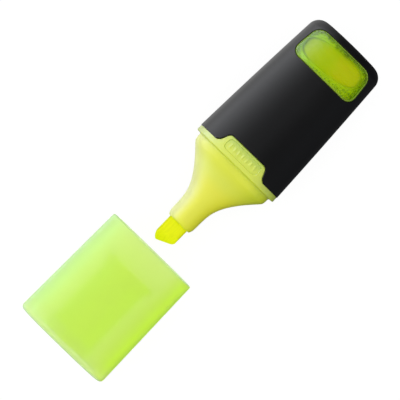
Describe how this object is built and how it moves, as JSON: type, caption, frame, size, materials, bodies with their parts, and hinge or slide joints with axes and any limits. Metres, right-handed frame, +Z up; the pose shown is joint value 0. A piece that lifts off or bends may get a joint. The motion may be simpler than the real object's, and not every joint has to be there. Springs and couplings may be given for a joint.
{
  "type": "capped highlighter",
  "caption": "Flat-bodied liquid-ink highlighter with a chisel nib, an ink window on each broad face, a fixed funnel nose and a pull-off cap that slides on along the pen's axis.",
  "frame": {"origin": "Middle of the assembly's footprint at rest, cap off, on the plane the pen and cap lie on.", "axes": "+X along the pen from the nib towards the rear of the barrel, which is also the way the cap closes; +Y across the width; +Z up, out of the broad face."},
  "size_m": [0.1018, 0.027, 0.0162],
  "materials": {
    "black_plastic": "satin black moulded plastic",
    "lime_plastic": "matte lime moulded plastic, slightly translucent",
    "nib_felt": "ink-soaked pressed fibre",
    "clear_plastic": "clear glossy plastic",
    "ink": "fluorescent yellow-green liquid",
    "seal_rubber": "soft elastomer",
    "natural_plastic": "natural uncoloured plastic",
    "wick_fibre": "ink-soaked bonded fibre rod",
    "cap_plastic": "frosted translucent green-yellow plastic",
    "liner_plastic": "translucent green-yellow plastic"
  },
  "bodies": {
    "pen": {"barrel_sleeve": "black_plastic", "front_section": "lime_plastic", "nib": "nib_felt", "ink_tank": "clear_plastic", "ink_charge": "ink", "tank_seal": "seal_rubber", "tank_stopper": "natural_plastic", "feed_buffer": "natural_plastic", "feed_wick": "wick_fibre", "filler_plug": "natural_plastic"},
    "cap": {"cap_shell": "cap_plastic", "cap_liner": "liner_plastic"}
  },
  "joints": [
    {"name": "cap_slide", "type": "slide", "parent": "pen", "child": "cap", "axis": [1, 0, 0], "range_m": [-0.015, 0.02867]}
  ]
}
